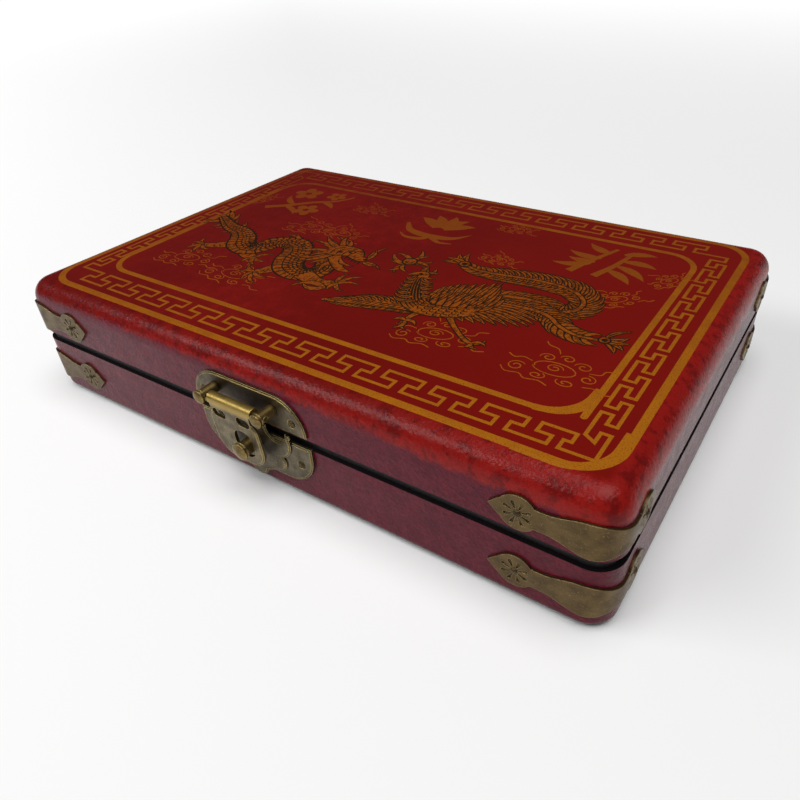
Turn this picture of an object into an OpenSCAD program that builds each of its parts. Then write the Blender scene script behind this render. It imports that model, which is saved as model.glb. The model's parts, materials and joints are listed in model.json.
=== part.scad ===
/* [Case] */
// Length of the closed case, side to side
case_l = 252; // [230:1:300]
// Width of the closed case, front to back
case_w = 170; // [150:1:210]
// Height of the closed case
case_h = 50; // [48:0.5:60]
// Radius of the four upright corners
corner_r = 9; // [8.8:0.1:12]
// Radius of the rounded top edge of the lid
top_edge_r = 8; // [4:0.5:8.5]
// Radius of the edge under the base
bottom_edge_r = 2.5; // [2:0.5:4]
// Height at which the two halves meet
seam_z = 26.5; // [25.5:0.5:27.5]
// Height of the dark gap left between the two wraps
seam_gap = 3.7; // [2.5:0.1:4.5]

/* [Shells] */
// Thickness of the padded leather wrap
wrap_t = 1.6; // [1:0.1:2]
// Thickness of the side boards
board_t = 7; // [6:0.5:8]
// Thickness of the top board of the lid
top_board_t = 6; // [5:0.5:7]
// Thickness of the bottom board of the base
bottom_board_t = 4; // [3:0.5:6]
// Thickness of the felt sheet under the base
felt_t = 1; // [0.6:0.1:1.5]
// Distance from the outer face to the edge of the felt
felt_inset = 3; // [2.5:0.5:10]
// Thickness of the cloth lining
lining_t = 0.8; // [0.5:0.1:1.5]
// How far the lining ends short of the rim
lining_drop = 1.5; // [0.5:0.5:4]

/* [Corner straps] */
// Thickness of the brass sheet of a strap
strap_t = 0.8; // [0.5:0.1:1.2]
// Length of a strap from its middle to either tip
strap_arm = 29.3; // [27:0.1:34]
// Height of the broad middle of a strap
strap_h = 12.3; // [11:0.1:13]
// Height of the narrow neck of a strap
strap_neck_h = 7.1; // [6.5:0.1:9]
// Distance from the middle of a strap to its neck
strap_neck_at = 12.8; // [12:0.1:14]
// Radius of the round lobe that carries the flower
strap_lobe_r = 6.1; // [5.5:0.1:6.3]
// Radius of the smaller lobe at the end
strap_nose_r = 3.6; // [3.4:0.1:4.2]
// Distance from the tip back to the flower
flower_from_tip = 8.8; // [8.6:0.1:9.6]
// How far the straps on the right are set towards their long side
strap_shift_right = 5.6; // [3:0.1:6]
// How far the straps on the left are set towards their long side
strap_shift_left = 5; // [3:0.1:6]
// Height of the strap centre on the lid
lid_strap_z = 35.6; // [35:0.1:35.8]
// Height of the strap centre on the base
base_strap_z = 12.6; // [11:0.1:14]
// Number of petals in a flower
petals = 8; // [6:1:10]
// Length of the groove between two petals
petal_l = 3; // [2:0.1:3.2]
// Width of the groove between two petals at its round outer end
petal_w = 1.2; // [0.8:0.1:1.4]
// Depth of the groove between two petals
petal_depth = 0.4; // [0.2:0.05:0.45]

/* [Nails and screws] */
// Radius of a strap nail's head
strap_nail_r = 1.15; // [0.9:0.05:1.4]
// Radius of a latch nail's head
latch_nail_r = 1.25; // [1.1:0.05:1.6]
// Height of a nail's domed head
nail_head_h = 0.75; // [0.5:0.05:0.9]
// Depth of the dish punched round a latch nail
nail_dish = 0.3; // [0.1:0.05:0.4]
// Width of the dish round the head of a latch nail
nail_dish_w = 0.55; // [0.3:0.05:0.8]
// Radius of a nail's shank
nail_shank_r = 0.6; // [0.4:0.05:0.8]
// How deep nails and screws go into the boards
nail_bite = 3.5; // [2:0.5:5]
// Radius of a hinge screw's head
screw_head_r = 1.7; // [1.5:0.05:2]
// Clearance round nails, screws and rivets in their holes
pilot_gap = 0.03; // [0.02:0.01:0.08]

/* [Latch] */
// Sideways place of the hasp and its posts from the middle of the case
latch_x = -2.7; // [-8:0.1:8]
// How far the middle of the lid's plate lies to the right of the hasp
lid_plate_dx = 0.8; // [0:0.1:1.5]
// How far the middle of the base's plate lies to the right of the hasp
base_plate_dx = 2; // [1.5:0.1:3]
// Width of the two latch plates
plate_w = 50.8; // [50:0.5:56]
// Thickness of the lid's latch plate
lid_plate_t = 1; // [0.8:0.1:1.1]
// Thickness of the base's latch plate
base_plate_t = 1.2; // [1.1:0.1:1.5]
// Highest point of the lid's latch plate
lid_plate_top = 42.5; // [41.5:0.1:42.6]
// Lowest point of the lid's latch plate over the edge of its wrap
lid_plate_lift = 1; // [0.6:0.1:1.4]
// Lowest point of the base's latch plate
base_plate_low = 8.5; // [8:0.1:10]
// How far the base's latch plate reaches over the edge of its wrap
base_plate_reach = 0.6; // [0:0.1:0.8]
// Corner radius of the latch plates
plate_corner_r = 12.5; // [11:0.1:13]
// Width of the lowered rim round the latch plates
plate_rim = 0.7; // [0.4:0.1:1]
// Height by which the middle of a plate stands over its rim
plate_rise = 0.3; // [0.2:0.05:0.4]
// Radius of the two posts
post_r = 2; // [1.8:0.05:2.1]
// Radius of the round head of a post
post_head_r = 2.45; // [2.3:0.05:2.6]
// Distance between the posts
post_gap = 26.2; // [26:0.1:28]
// Length of a post from the face of the lid
post_l = 9.2; // [9:0.1:10]
// Height of the posts and of the hasp's pin
post_z = 36.6; // [36:0.1:37]
// Radius of the tenon that holds a post or the knob in its board
tenon_r = 1.3; // [1:0.05:1.5]
// Distance from the face of the lid to the hasp's pin
pin_out = 5.7; // [5.5:0.1:5.9]
// Radius of the hasp's pin
pin_r = 1; // [0.8:0.05:1]
// Running clearance round a hinge or hasp pin
pin_gap = 0.05; // [0.03:0.01:0.09]

/* [Hasp] */
// Outer radius of the rolled barrel
barrel_r = 2.1; // [1.9:0.05:2.2]
// End clearance between the barrel and the head of a post
barrel_gap = 0.8; // [0.3:0.1:1.2]
// Thickness of the hasp
hasp_t = 1.2; // [1:0.1:1.3]
// Width of the hasp leaf
hasp_w = 21.6; // [21:0.2:22]
// Distance from the pin down to the shoulders of the leaf
shoulder_drop = 3.4; // [3.3:0.1:4]
// Distance from the pin down to the foot of the leaf
foot_drop = 23.8; // [22.5:0.1:24]
// Corner radius of the shoulders
shoulder_r = 4; // [3:0.5:4.5]
// Corner radius of the foot
foot_r = 8; // [6:0.5:9]
// Lean of the hasp towards the base, in degrees
hasp_lean = 4; // [3:0.5:6]
// Width of the slot that passes over the knob
slot_w = 8.2; // [7.6:0.1:8.6]
// Height of the slot
slot_h = 11.6; // [11:0.1:12]
// Sideways place of the slot and the knob from the middle of the hasp
slot_x = 3; // [1.5:0.1:3.2]
// Width of the two small windows under the barrel
window_w = 6; // [5:0.1:6.4]
// Height of the two small windows
window_h = 3.8; // [3:0.1:4]
// Distance of a window from the middle of the hasp
window_x = 5.4; // [5:0.1:5.6]

/* [Catch] */
// Thickness of the winged catch plate
catch_t = 0.8; // [0.6:0.1:1]
// Distance from the middle of the catch to the centre of a wing
wing_x = 10; // [9.6:0.1:10.4]
// Height of the centre of a wing
wing_z = 24.1; // [23.8:0.1:24.4]
// Radius of a wing
wing_r = 7; // [6.8:0.1:7.2]
// Radius of the hollow scooped out over a wing
scoop_r = 4.3; // [4:0.1:4.5]
// Radius of the lower lobe under a wing
lobe_r = 4; // [3.8:0.1:4.2]
// How far the tongue at the foot of the catch lies to the left of its middle
tongue_dx = 1; // [0:0.1:1.5]
// Radius of the tongue
tongue_r = 4.2; // [3.8:0.1:4.4]
// Lowest point of the tongue
tongue_low = 4.6; // [4.2:0.1:5.5]
// Radius of the knob's stem
knob_r = 2.75; // [2.4:0.05:2.8]
// Radius of the knob's round head
knob_head_r = 3.2; // [3:0.05:3.4]
// Distance from the face of the base to the end of the knob
knob_out = 10.6; // [10:0.1:10.8]
// Height of the knob
knob_z = 20.8; // [20.4:0.1:21.2]

/* [Hinges] */
// Distance of a hinge from the middle of the back
hinge_x = 62; // [50:1:75]
// Width of a hinge
hinge_w = 30; // [26:1:40]
// Height of a hinge leaf below or above its barrel
leaf_h = 12; // [10:0.5:13]
// Thickness of a hinge leaf
leaf_t = 1; // [0.8:0.1:1.2]
// Outer radius of the hinge barrel
knuckle_r = 2.2; // [2.1:0.05:2.5]
// Radius of the hinge pin
hinge_pin_r = 1; // [0.8:0.05:1.2]
// Side clearance between two hinge knuckles
knuckle_gap = 0.15; // [0.1:0.05:0.3]

/* [Hidden] */
$fn = 48;

leather = [0.45, 0.05, 0.06];
brass = [0.55, 0.45, 0.22];
black = [0.07, 0.06, 0.06];
cloth = [0.32, 0.05, 0.07];
left = -1;
right = 1;
front = -1;
back = 1;

// Wraps: each ends half the gap away from the seam
base_wrap_top = seam_z - seam_gap / 2;
lid_wrap_low = seam_z + seam_gap / 2;

// Boards: the wooden box inside the wrap
wood_l = case_l - 2 * wrap_t;
wood_w = case_w - 2 * wrap_t;
wood_corner_r = corner_r - wrap_t;
wood_low = felt_t + wrap_t;
wood_top = case_h - wrap_t;
wood_edge_r = min(top_edge_r - wrap_t, top_board_t - 0.4);
room_l = wood_l - 2 * board_t;
room_w = wood_w - 2 * board_t;
base_floor = wood_low + bottom_board_t;
lid_ceiling = wood_top - top_board_t;

// Straps: lengths along the sheet, measured before it is bent
bend_half = PI * corner_r / 4;
flower_at = strap_arm - flower_from_tip;
nose_at = flower_at + strap_nose_r;
waist_end = flower_at - sqrt(pow(strap_lobe_r, 2) - pow(strap_neck_h / 2, 2)) / 2;
function strap_shift(side) = side == right ? strap_shift_right : strap_shift_left;
function long_nail_at(side) = corner_r + flower_at + strap_shift(side) - bend_half;
function short_nail_at(side) = corner_r + flower_at - strap_shift(side) - bend_half;

// Latch: places of the plates, the nails and the slot
catch_face = base_plate_t + catch_t;
lid_plate_x = latch_x + lid_plate_dx;
base_plate_x = latch_x + base_plate_dx;
latch_nail_dx = plate_w / 2 - 5.2;
lid_nail_z = lid_wrap_low + 5.4;
base_nail_z = base_wrap_top - 7.4;
slot_drop = (post_z - knob_z) / cos(hasp_lean) - (slot_h - slot_w) / 2;
barrel_l = post_gap - 2 * (post_head_r + barrel_gap);
head_h = 0.8;

// Hinges: the pin lies behind the case at the height of the seam
hinge_y = case_w / 2 + knuckle_r;
leaf_start = knuckle_r + 0.3;
knuckle_l = hinge_w / 3;
screw_dx = hinge_w / 2 - 5;

// ---- Outlines ----

// Right half of an upright section through a box that has one rounded top edge
module edge_profile(half, low, high, r) intersection() {
  translate([0, low]) square([half, high - low]);
  union() {
    translate([0, low]) square([half, high - low - r]);
    translate([0, low]) square([half - r, high - low]);
    translate([half - r, high - r]) circle(r);
  }
}

// Plan of a box with rounded upright corners
module rounded_plan(l, w, r) {
  square([l - 2 * r, w], center = true);
  square([l, w - 2 * r], center = true);
  for (sx = [-1, 1], sy = [-1, 1])
    translate([sx * (l / 2 - r), sy * (w / 2 - r)]) circle(r);
}

// Outline of a flattened corner strap round its middle
module strap_outline() {
  waist = [for (u = [-waist_end : waist_end / 16 : waist_end]) [u, waist_half(abs(u))]];
  polygon(concat(waist, [for (i = [len(waist) - 1 : -1 : 0]) [waist[i][0], -waist[i][1]]]));
  for (end = [-1, 1]) mirror([end < 0 ? 1 : 0, 0]) {
    translate([flower_at, 0]) circle(strap_lobe_r);
    translate([nose_at, 0]) circle(strap_nose_r);
    strap_tip();
  }
}

// Half height of a strap at a distance from its middle, a smooth dip from the middle to the neck
function waist_half(u) = u > strap_neck_at ? strap_neck_h / 2 :
  strap_neck_h / 2 + (strap_h - strap_neck_h) / 4 * (1 + cos(180 * u / strap_neck_at));

// Pointed nose: two straight edges from the tip that touch the nose lobe
module strap_tip() {
  reach = strap_arm - nose_at;
  touch = acos(strap_nose_r / reach);
  polygon([
    [nose_at + reach, 0],
    [nose_at + strap_nose_r * cos(touch), strap_nose_r * sin(touch)],
    [nose_at + strap_nose_r * cos(touch), -strap_nose_r * sin(touch)]
  ]);
}

// Plan of a strap's broad middle as seen along the corner's diagonal
module bent_outline(shift) {
  sheet_r = corner_r + strap_t / 2;
  bend = [for (w = [-bend_half * 1.12 : bend_half * 0.14 : bend_half * 1.13])
    [-sheet_r * sin(w / corner_r * 180 / PI), waist_half(abs(w - shift))]];
  polygon(concat(bend, [for (i = [len(bend) - 1 : -1 : 0]) [bend[i][0], -bend[i][1]]]));
}

// Latch plate outline: straight at the seam, round at its two far corners
module plate_outline(height, inset) intersection() {
  translate([-plate_w / 2, inset]) square([plate_w, height - 2 * inset]);
  translate([0, height - inset - case_h / 2])
    rounded_plan(plate_w - 2 * inset, case_h, plate_corner_r - inset);
}

// Outline of the hasp leaf, with the pin's axis at the origin
module hasp_outline(inset) {
  for (side = [-1, 1]) {
    translate([side * (hasp_w / 2 - shoulder_r), -shoulder_drop - shoulder_r]) circle(shoulder_r - inset);
    translate([side * (hasp_w / 2 - foot_r), foot_r - foot_drop]) circle(foot_r - inset);
  }
  translate([inset - hasp_w / 2, foot_r - foot_drop])
    square([hasp_w - 2 * inset, foot_drop - foot_r - shoulder_drop - shoulder_r]);
  translate([shoulder_r - hasp_w / 2, -shoulder_drop - 2 * shoulder_r])
    square([hasp_w - 2 * shoulder_r, 2 * shoulder_r - inset]);
  translate([foot_r - hasp_w / 2, inset - foot_drop])
    square([hasp_w - 2 * foot_r, 2 * foot_r]);
}

// Upright opening with round ends
module slot_outline(w, h) {
  for (end = [-1, 1]) translate([0, end * (h - w) / 2]) circle(w / 2);
  square([w, h - w], center = true);
}

// Winged outline of the catch plate round its upright middle line, at its real height
module catch_outline(inset) {
  top = lid_wrap_low + 0.7 - inset;
  lobe = [wing_x - 0.7, wing_z - 9.4];
  tip = [wing_x + wing_r - 0.5, wing_z + 3.2];
  difference() {
    union() {
      for (side = [-1, 1]) {
        translate([side * wing_x, wing_z]) circle(wing_r - inset);
        translate([side * lobe[0], lobe[1]]) circle(lobe_r - inset);
        translate([side * tip[0], tip[1]]) circle(0.9 - inset / 2);
      }
      polygon([
        [-lobe[0], top], [-lobe[0], lobe[1] - lobe_r + inset + 0.2], [-3, tongue_low + 3 + inset],
        [3, tongue_low + 3 + inset], [lobe[0], lobe[1] - lobe_r + inset + 0.2], [lobe[0], top]
      ]);
      translate([-tongue_dx, tongue_low + tongue_r]) circle(tongue_r - inset);
    }
    for (side = [-1, 1])
      translate([side * (wing_x + 1.1), wing_z + 4.3]) circle(scoop_r + inset);
    translate([-2 * wing_x, top]) square([4 * wing_x, wing_r]);
  }
}

// ---- Solids used more than once ----

// Solid box with rounded upright corners and one rounded top edge
module rounded_block(l, w, low, high, corner, edge) {
  for (sx = [-1, 1], sy = [-1, 1])
    translate([sx * (l / 2 - corner), sy * (w / 2 - corner), 0])
      rotate_extrude() edge_profile(corner, low, high, edge);
  for (side = [0, 1]) mirror([0, side, 0])
    translate([corner - l / 2, 0, 0]) rotate([90, 0, 90])
      linear_extrude(l - 2 * corner) edge_profile(w / 2, low, high, edge);
  for (side = [0, 1]) mirror([side, 0, 0])
    translate([0, w / 2 - corner, 0]) rotate([90, 0, 0])
      linear_extrude(w - 2 * corner) edge_profile(l / 2, low, high, edge);
}

// Puts its children on the front of the case: their Z points out, their Y points up
module on_front(x, z) translate([x, -case_w / 2, z]) rotate([90, 0, 0]) children();

// Puts its children at the two flowers of the strap on one corner
module at_flowers(sx, sy, z) {
  translate([sx * (case_l / 2 - long_nail_at(sx)), sy * case_w / 2, z]) rotate([-sy * 90, 0, 0]) children();
  translate([sx * case_l / 2, sy * (case_w / 2 - short_nail_at(sx)), z]) rotate([0, sx * 90, 0]) children();
}

// Puts its children at the flowers of all four corners
module at_all_flowers(z) for (sx = [left, right], sy = [front, back]) at_flowers(sx, sy, z) children();

// Puts its children at the two nails of a latch plate
module at_latch_nails(x, z) for (side = [-1, 1]) on_front(x + side * latch_nail_dx, z) children();

// Puts its children at the two posts, and at the knob
module at_post(side) on_front(latch_x + side * post_gap / 2, post_z) children();
module at_knob() on_front(latch_x + slot_x, knob_z) children();

// Puts its children at the screws of both hinges: dir is 1 for the lid and -1 for the base
module at_hinge_screws(dir)
  for (sx = [left, right], dx = [-screw_dx, screw_dx])
    translate([sx * hinge_x + dx, case_w / 2, seam_z + dir * (leaf_start + leaf_h / 2)])
      rotate([-90, 0, 0]) children();

// Nail with a domed head that sits at a height over the face
module nail(head_r, seat) {
  dome_r = (pow(head_r, 2) + pow(nail_head_h, 2)) / (2 * nail_head_h);
  translate([0, 0, seat]) intersection() {
    translate([0, 0, nail_head_h - dome_r]) sphere(dome_r);
    cylinder(h = nail_head_h, r = head_r);
  }
  translate([0, 0, -wrap_t - nail_bite]) cylinder(h = wrap_t + nail_bite + seat, r = nail_shank_r);
}

// Stud with a tenon, a stem, a collar and a round head, seated at a height over the face
module stud(seat, stem_r, head_r, end) {
  cap_r = (pow(head_r, 2) + pow(head_h, 2)) / (2 * head_h);
  translate([0, 0, -wrap_t - nail_bite]) cylinder(h = wrap_t + nail_bite + seat, r = tenon_r);
  translate([0, 0, seat]) cylinder(h = end - 2 * head_h - seat, r = stem_r);
  translate([0, 0, end - 3 * head_h]) cylinder(h = head_h / 2, r = (stem_r + head_r) / 2);
  translate([0, 0, end - 2 * head_h]) cylinder(h = head_h, r = head_r);
  translate([0, 0, end - head_h]) intersection() {
    translate([0, 0, head_h - cap_r]) sphere(cap_r);
    cylinder(h = head_h, r = head_r);
  }
}

// Screw with a slotted round head
module screw(seat) {
  difference() {
    nail(screw_head_r, seat);
    translate([0, 0, seat + nail_head_h]) cube([4 * screw_head_r, 0.5, 0.5], center = true);
  }
}

// Hole for a nail, a screw or a tenon, cut in from above the face
module pilot(r) translate([0, 0, -wrap_t - nail_bite - 0.2])
  cylinder(h = 2 * wrap_t + nail_bite + 6, r = r + pilot_gap);

module lid_pilots() {
  at_all_flowers(lid_strap_z) pilot(nail_shank_r);
  at_latch_nails(lid_plate_x, lid_nail_z) pilot(nail_shank_r);
  for (side = [-1, 1]) at_post(side) pilot(tenon_r);
  at_hinge_screws(1) pilot(nail_shank_r);
}

module base_pilots() {
  at_all_flowers(base_strap_z) pilot(nail_shank_r);
  at_latch_nails(base_plate_x, base_nail_z) pilot(nail_shank_r);
  at_knob() pilot(tenon_r);
  at_hinge_screws(-1) pilot(nail_shank_r);
}

// Long side board, its ends rounded by the case's corners
module long_board(side, low, high) {
  translate([0, 0, low]) linear_extrude(high - low) intersection() {
    rounded_plan(wood_l, wood_w, wood_corner_r);
    translate([0, side * (wood_w - board_t) / 2]) square([wood_l, board_t], center = true);
  }
}

// Short side board between the two long ones
module short_board(side, low, high) {
  translate([0, 0, low]) linear_extrude(high - low) intersection() {
    rounded_plan(wood_l, wood_w, wood_corner_r);
    translate([side * (wood_l - board_t) / 2, 0]) square([board_t, room_w], center = true);
  }
}

// Strap bent round the upright corner whose centre line is the origin, flower side to the front
module bent_strap(shift) {
  intersection() {
    translate([0, -corner_r, 0]) rotate([90, 0, 0]) linear_extrude(strap_t)
      mirror([1, 0]) translate([shift - bend_half, 0]) strap_outline();
    translate([-2 * strap_arm, -2 * corner_r, -strap_h]) cube([2 * strap_arm, 2 * corner_r, 2 * strap_h]);
  }
  intersection() {
    translate([corner_r, 0, 0]) rotate([90, 0, 90]) linear_extrude(strap_t)
      translate([-shift - bend_half, 0]) strap_outline();
    translate([0, 0, -strap_h]) cube([2 * corner_r, 2 * strap_arm, 2 * strap_h]);
  }
  intersection() {
    translate([0, 0, -strap_h / 2]) difference() {
      cylinder(h = strap_h, r = corner_r + strap_t);
      translate([0, 0, -1]) cylinder(h = strap_h + 2, r = corner_r);
    }
    translate([0, -2 * corner_r, -strap_h]) cube([2 * corner_r, 2 * corner_r, 2 * strap_h]);
    rotate([90, 0, 45]) linear_extrude(2 * corner_r) mirror([1, 0]) bent_outline(-shift);
  }
}

// Outline of the groove between two petals, a drop with its point towards the nail
module petal_outline() {
  outer = petal_l - petal_w / 2;
  translate([outer, 0]) circle(petal_w / 2);
  polygon([[0, 0.15], [outer, petal_w / 2], [outer, -petal_w / 2], [0, -0.15]]);
}

// Grooves between the petals of a flower, and its nail hole
module flower_cut() {
  for (i = [0 : petals - 1]) rotate([0, 0, 360 * (i + 0.5) / petals])
    translate([strap_nail_r + 0.3, 0, strap_t - petal_depth]) linear_extrude(strap_t) petal_outline();
  pilot(nail_shank_r);
}

// Strap in its place on one corner of the case
module corner_strap(sx, sy, z) {
  color(brass) difference() {
    mirror([sx < 0 ? 1 : 0, 0, 0]) mirror([0, sy > 0 ? 1 : 0, 0])
      translate([case_l / 2 - corner_r, corner_r - case_w / 2, z]) bent_strap(strap_shift(sx));
    at_flowers(sx, sy, z) flower_cut();
  }
}

// Hinge leaf: dir is 1 for the lid's leaf and -1 for the base's, knuckles are [start, length] pairs
module hinge_leaf(sx, dir, knuckles) {
  leaf_z = seam_z + (dir > 0 ? leaf_start : -leaf_start - leaf_h);
  color(brass) difference() {
    union() {
      translate([sx * hinge_x - hinge_w / 2, case_w / 2, leaf_z]) cube([hinge_w, leaf_t, leaf_h]);
      for (k = knuckles) translate([sx * hinge_x - hinge_w / 2 + k[0], hinge_y, seam_z]) {
        rotate([0, 90, 0]) cylinder(h = k[1], r = knuckle_r);
        translate([0, -knuckle_r, dir > 0 ? 0 : -leaf_start - 1]) cube([k[1], leaf_t, leaf_start + 1]);
      }
    }
    translate([sx * hinge_x - hinge_w, hinge_y, seam_z]) rotate([0, 90, 0])
      cylinder(h = 2 * hinge_w, r = hinge_pin_r + pin_gap);
    at_hinge_screws(dir) pilot(nail_shank_r);
  }
}

module hinge_base_leaf(sx)
  hinge_leaf(sx, -1, [[0, knuckle_l - knuckle_gap], [2 * knuckle_l + knuckle_gap, knuckle_l - knuckle_gap]]);
module hinge_lid_leaf(sx) hinge_leaf(sx, 1, [[knuckle_l, knuckle_l]]);

// Hinge pin with a peened head at each end
module hinge_pin(sx) {
  head = 0.5;
  color(brass) translate([sx * hinge_x - hinge_w / 2, hinge_y, seam_z]) rotate([0, 90, 0]) {
    translate([0, 0, -head]) cylinder(h = hinge_w + 2 * head, r = hinge_pin_r);
    for (end = [-head - 0.05, hinge_w + 0.05])
      translate([0, 0, end]) cylinder(h = head, r = hinge_pin_r + 0.6);
  }
}

// Latch plate with a lowered rim, lying on the face of the case
module latch_plate(height, thickness) {
  linear_extrude(thickness - plate_rise) plate_outline(height, 0);
  linear_extrude(thickness) plate_outline(height, plate_rim);
}

// Dish in a latch plate, in which the head of a nail sits
module nail_dish(thickness) translate([0, 0, thickness - nail_dish])
  cylinder(h = thickness, r = latch_nail_r + nail_dish_w);

// ---- Base ----

module base_front_board() color(black) difference() {
  long_board(front, wood_low, seam_z);
  base_pilots();
}

module base_back_board() color(black) difference() {
  long_board(back, wood_low, seam_z);
  base_pilots();
}

module base_left_board() color(black) difference() {
  short_board(left, wood_low, seam_z);
  base_pilots();
}

module base_right_board() color(black) difference() {
  short_board(right, wood_low, seam_z);
  base_pilots();
}

module base_bottom_board() color("tan")
  translate([0, 0, wood_low + bottom_board_t / 2]) cube([room_l, room_w, bottom_board_t], center = true);

// Leather round the sides and under the bottom, its lower edge rounded
module base_wrap() color(leather) difference() {
  translate([0, 0, base_wrap_top]) mirror([0, 0, 1])
    rounded_block(case_l, case_w, 0, base_wrap_top - felt_t, corner_r, bottom_edge_r);
  translate([0, 0, wood_low]) linear_extrude(case_h) rounded_plan(wood_l, wood_w, wood_corner_r);
  base_pilots();
}

module base_felt() color(black)
  linear_extrude(felt_t)
    rounded_plan(case_l - 2 * felt_inset, case_w - 2 * felt_inset, corner_r - felt_inset);

module base_lining() color(cloth) difference() {
  translate([-room_l / 2, -room_w / 2, base_floor]) cube([room_l, room_w, seam_z - lining_drop - base_floor]);
  translate([lining_t - room_l / 2, lining_t - room_w / 2, base_floor + lining_t])
    cube([room_l - 2 * lining_t, room_w - 2 * lining_t, case_h]);
}

// ---- Lid ----

module lid_front_board() color(black) difference() {
  long_board(front, seam_z, lid_ceiling);
  lid_pilots();
}

module lid_back_board() color(black) difference() {
  long_board(back, seam_z, lid_ceiling);
  lid_pilots();
}

module lid_left_board() color(black) difference() {
  short_board(left, seam_z, lid_ceiling);
  lid_pilots();
}

module lid_right_board() color(black) difference() {
  short_board(right, seam_z, lid_ceiling);
  lid_pilots();
}

module lid_top_board() color("tan") difference() {
  rounded_block(wood_l, wood_w, lid_ceiling, wood_top, wood_corner_r, wood_edge_r);
  lid_pilots();
}

// Leather round the sides and over the rounded top
module lid_wrap() color(leather) difference() {
  rounded_block(case_l, case_w, lid_wrap_low, case_h, corner_r, top_edge_r);
  translate([0, 0, -case_h]) linear_extrude(case_h + lid_ceiling) rounded_plan(wood_l, wood_w, wood_corner_r);
  rounded_block(wood_l, wood_w, lid_ceiling - 1, wood_top, wood_corner_r, wood_edge_r);
  lid_pilots();
}

module lid_lining() color(cloth) difference() {
  translate([-room_l / 2, -room_w / 2, seam_z + lining_drop])
    cube([room_l, room_w, lid_ceiling - seam_z - lining_drop]);
  translate([lining_t - room_l / 2, lining_t - room_w / 2, 0])
    cube([room_l - 2 * lining_t, room_w - 2 * lining_t, lid_ceiling - lining_t]);
}

// ---- Corner straps ----

module lid_strap_front_left() corner_strap(left, front, lid_strap_z);
module lid_strap_front_right() corner_strap(right, front, lid_strap_z);
module lid_strap_back_left() corner_strap(left, back, lid_strap_z);
module lid_strap_back_right() corner_strap(right, back, lid_strap_z);
module base_strap_front_left() corner_strap(left, front, base_strap_z);
module base_strap_front_right() corner_strap(right, front, base_strap_z);
module base_strap_back_left() corner_strap(left, back, base_strap_z);
module base_strap_back_right() corner_strap(right, back, base_strap_z);

module strap_nails(z) color(brass) at_all_flowers(z) nail(strap_nail_r, strap_t);
module lid_strap_nails() strap_nails(lid_strap_z);
module base_strap_nails() strap_nails(base_strap_z);

// ---- Latch ----

module lid_latch_plate() color(brass) difference() {
  low = lid_wrap_low + lid_plate_lift;
  on_front(lid_plate_x, low) latch_plate(lid_plate_top - low, lid_plate_t);
  at_latch_nails(lid_plate_x, lid_nail_z) nail_dish(lid_plate_t);
  lid_pilots();
}

module base_latch_plate() color(brass) difference() {
  high = base_wrap_top + base_plate_reach;
  on_front(base_plate_x, high) mirror([0, 1, 0]) latch_plate(high - base_plate_low, base_plate_t);
  at_latch_nails(base_plate_x, base_nail_z) nail_dish(base_plate_t);
  base_pilots();
}

module lid_latch_nails() color(brass)
  at_latch_nails(lid_plate_x, lid_nail_z) nail(latch_nail_r, lid_plate_t - nail_dish);
module base_latch_nails() color(brass)
  at_latch_nails(base_plate_x, base_nail_z) nail(latch_nail_r, base_plate_t - nail_dish);

// The hasp pin's axis, with Z along it
module pin_axis() on_front(latch_x, post_z) translate([0, 0, pin_out]) rotate([0, 90, 0]) children();

// Post that stands out of the lid, with a cross hole for the pin
module latch_post(side) color(brass) difference() {
  at_post(side) stud(lid_plate_t, post_r, post_head_r, post_l);
  pin_axis() cylinder(h = 2 * post_gap, r = pin_r + pilot_gap, center = true);
}
module left_post() latch_post(left);
module right_post() latch_post(right);

module hasp_pin() color(brass) pin_axis() cylinder(h = post_gap + 2 * post_r, r = pin_r, center = true);

// Hasp: a leaf rolled round the pin, leaning in so that its slot lies over the knob
module hasp() color(brass) difference() {
  on_front(latch_x, post_z) translate([0, 0, pin_out]) rotate([hasp_lean, 0, 0]) difference() {
    union() {
      rotate([0, 90, 0]) cylinder(h = barrel_l, r = barrel_r, center = true);
      translate([-barrel_l / 2 + 1, -shoulder_drop - 1, barrel_r - hasp_t])
        cube([barrel_l - 2, shoulder_drop + 1, hasp_t]);
      translate([0, 0, barrel_r - hasp_t]) {
        linear_extrude(hasp_t) hasp_outline(plate_rim);
        linear_extrude(hasp_t - plate_rise) hasp_outline(0);
      }
    }
    translate([slot_x, -slot_drop, -barrel_r]) linear_extrude(3 * barrel_r) slot_outline(slot_w, slot_h);
    for (side = [-1, 1]) translate([side * window_x, -barrel_r - 0.05 - window_h / 2, -barrel_r])
      linear_extrude(3 * barrel_r) rotate([0, 0, 90]) slot_outline(window_h, window_w);
  }
  pin_axis() cylinder(h = 2 * post_gap, r = pin_r + pin_gap, center = true);
}

// Winged plate on the base plate, with a lowered rim
module catch_plate() color(brass) difference() {
  on_front(base_plate_x, 0) translate([0, 0, base_plate_t]) {
    linear_extrude(catch_t - plate_rise) catch_outline(0);
    linear_extrude(catch_t) catch_outline(plate_rim);
  }
  at_knob() pilot(tenon_r);
}

// Knob that comes out through the slot of the hasp
module catch_knob() color(brass) at_knob() stud(catch_face, knob_r, knob_head_r, knob_out);

// ---- Hinges ----

module left_hinge_base_leaf() hinge_base_leaf(left);
module left_hinge_lid_leaf() hinge_lid_leaf(left);
module left_hinge_pin() hinge_pin(left);
module right_hinge_base_leaf() hinge_base_leaf(right);
module right_hinge_lid_leaf() hinge_lid_leaf(right);
module right_hinge_pin() hinge_pin(right);
module base_hinge_screws() color(brass) at_hinge_screws(-1) screw(leaf_t);
module lid_hinge_screws() color(brass) at_hinge_screws(1) screw(leaf_t);

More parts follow.
